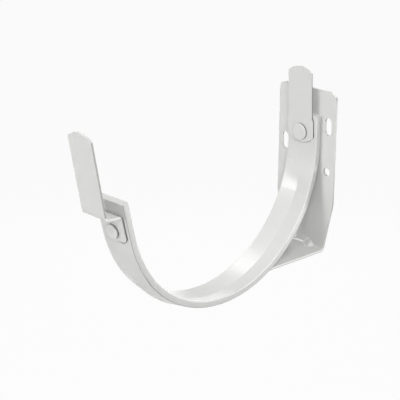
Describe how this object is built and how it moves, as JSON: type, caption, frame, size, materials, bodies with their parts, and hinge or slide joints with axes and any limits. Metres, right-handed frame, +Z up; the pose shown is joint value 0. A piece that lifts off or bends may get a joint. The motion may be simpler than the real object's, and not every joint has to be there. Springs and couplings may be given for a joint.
{
  "type": "gutter bracket",
  "caption": "Fascia bracket for a half-round gutter: a creased hook arm riveted to a folded wall plate, with a bend-over clip at each end.",
  "frame": {"origin": "on the wall plate's back face, at the middle of its width and level with the centre of the gutter's circle", "axes": "+X along the gutter, +Y into the wall, +Z up"},
  "size_m": [0.045, 0.1843, 0.1295],
  "materials": {
    "painted_steel": "gloss",
    "painted_rivet": "gloss"
  },
  "bodies": {
    "root": {"hook_arm": "painted_steel", "wall_plate": "painted_steel", "front_clip": "painted_steel", "rear_clip": "painted_steel", "front_rivet": "painted_rivet", "rear_rivet": "painted_rivet"}
  },
  "joints": []
}
